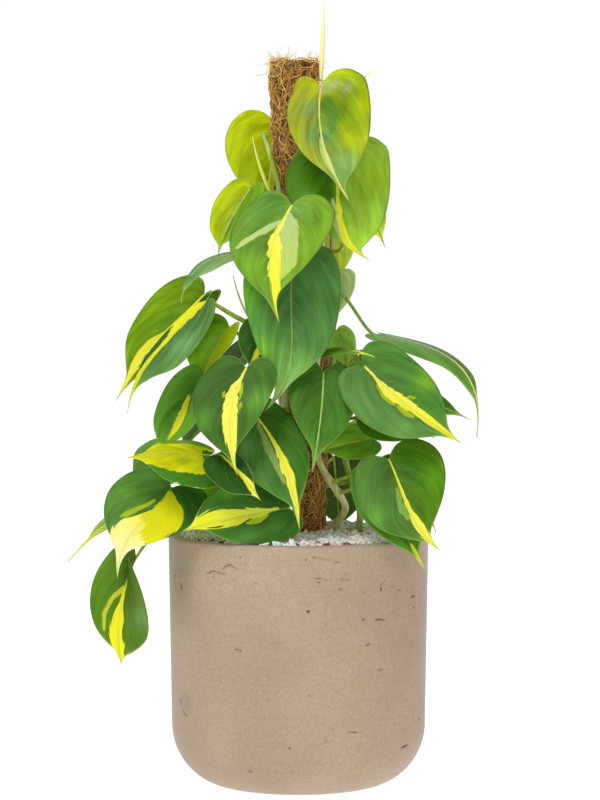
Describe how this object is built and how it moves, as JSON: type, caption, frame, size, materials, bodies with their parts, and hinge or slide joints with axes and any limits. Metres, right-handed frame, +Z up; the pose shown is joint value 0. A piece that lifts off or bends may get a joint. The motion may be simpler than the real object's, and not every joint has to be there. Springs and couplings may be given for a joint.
{
  "type": "potted climbing philodendron",
  "caption": "Climbing philodendron with heart-shaped variegated leaves on a coir pole, in a round sandy pot with mineral granules.",
  "frame": {"origin": "centre of the pot's flat base", "axes": "+Z up along the pot's axis, the front of the plant faces -Y, +X is to the right seen from the front"},
  "size_m": [0.3104, 0.221, 0.601],
  "materials": {
    "fibre_clay": "matt sandy fibre clay with fine pits and hairline cracks",
    "mineral": "loose dry pumice and lava granules",
    "stake_wood": "raw stake",
    "coir": "brown coconut fibre mat",
    "stem": "satin living stem, yellow-green to brown",
    "leaf": "satin waxy leaf, dark green with lime and yellow variegation",
    "young_leaf": "satin rolled new leaf, cream to lime"
  },
  "bodies": {
    "root": {"pot": "fibre_clay", "substrate": "mineral", "pole_core": "stake_wood", "coir_sleeve": "coir", "vine_front_left": "stem", "vine_front_right": "stem", "vine_left": "stem", "vine_right": "stem", "vine_back_left": "stem", "vine_back_right": "stem", "vine_front": "stem", "new_leaf": "young_leaf", "leaf_01": "leaf", "leaf_02": "leaf", "leaf_03": "leaf", "leaf_04": "leaf", "leaf_05": "leaf", "leaf_06": "leaf", "leaf_07": "leaf", "leaf_08": "leaf", "leaf_09": "leaf", "leaf_10": "leaf", "leaf_11": "leaf", "leaf_12": "leaf", "leaf_13": "leaf", "leaf_14": "leaf", "leaf_15": "leaf", "leaf_16": "leaf", "leaf_17": "leaf", "leaf_18": "leaf", "leaf_19": "leaf", "leaf_20": "leaf", "leaf_21": "leaf", "leaf_22": "leaf", "leaf_23": "leaf", "leaf_24": "leaf", "leaf_25": "leaf", "leaf_26": "leaf", "leaf_27": "leaf", "leaf_28": "leaf", "leaf_29": "leaf", "leaf_30": "leaf", "leaf_31": "leaf", "leaf_32": "leaf", "leaf_33": "leaf", "leaf_34": "leaf", "leaf_35": "leaf", "leaf_36": "leaf", "leaf_37": "leaf", "leaf_38": "leaf", "leaf_39": "leaf", "leaf_40": "leaf", "leaf_41": "leaf", "leaf_42": "leaf", "leaf_43": "leaf", "leaf_44": "leaf", "leaf_45": "leaf", "leaf_46": "leaf"}
  },
  "joints": []
}
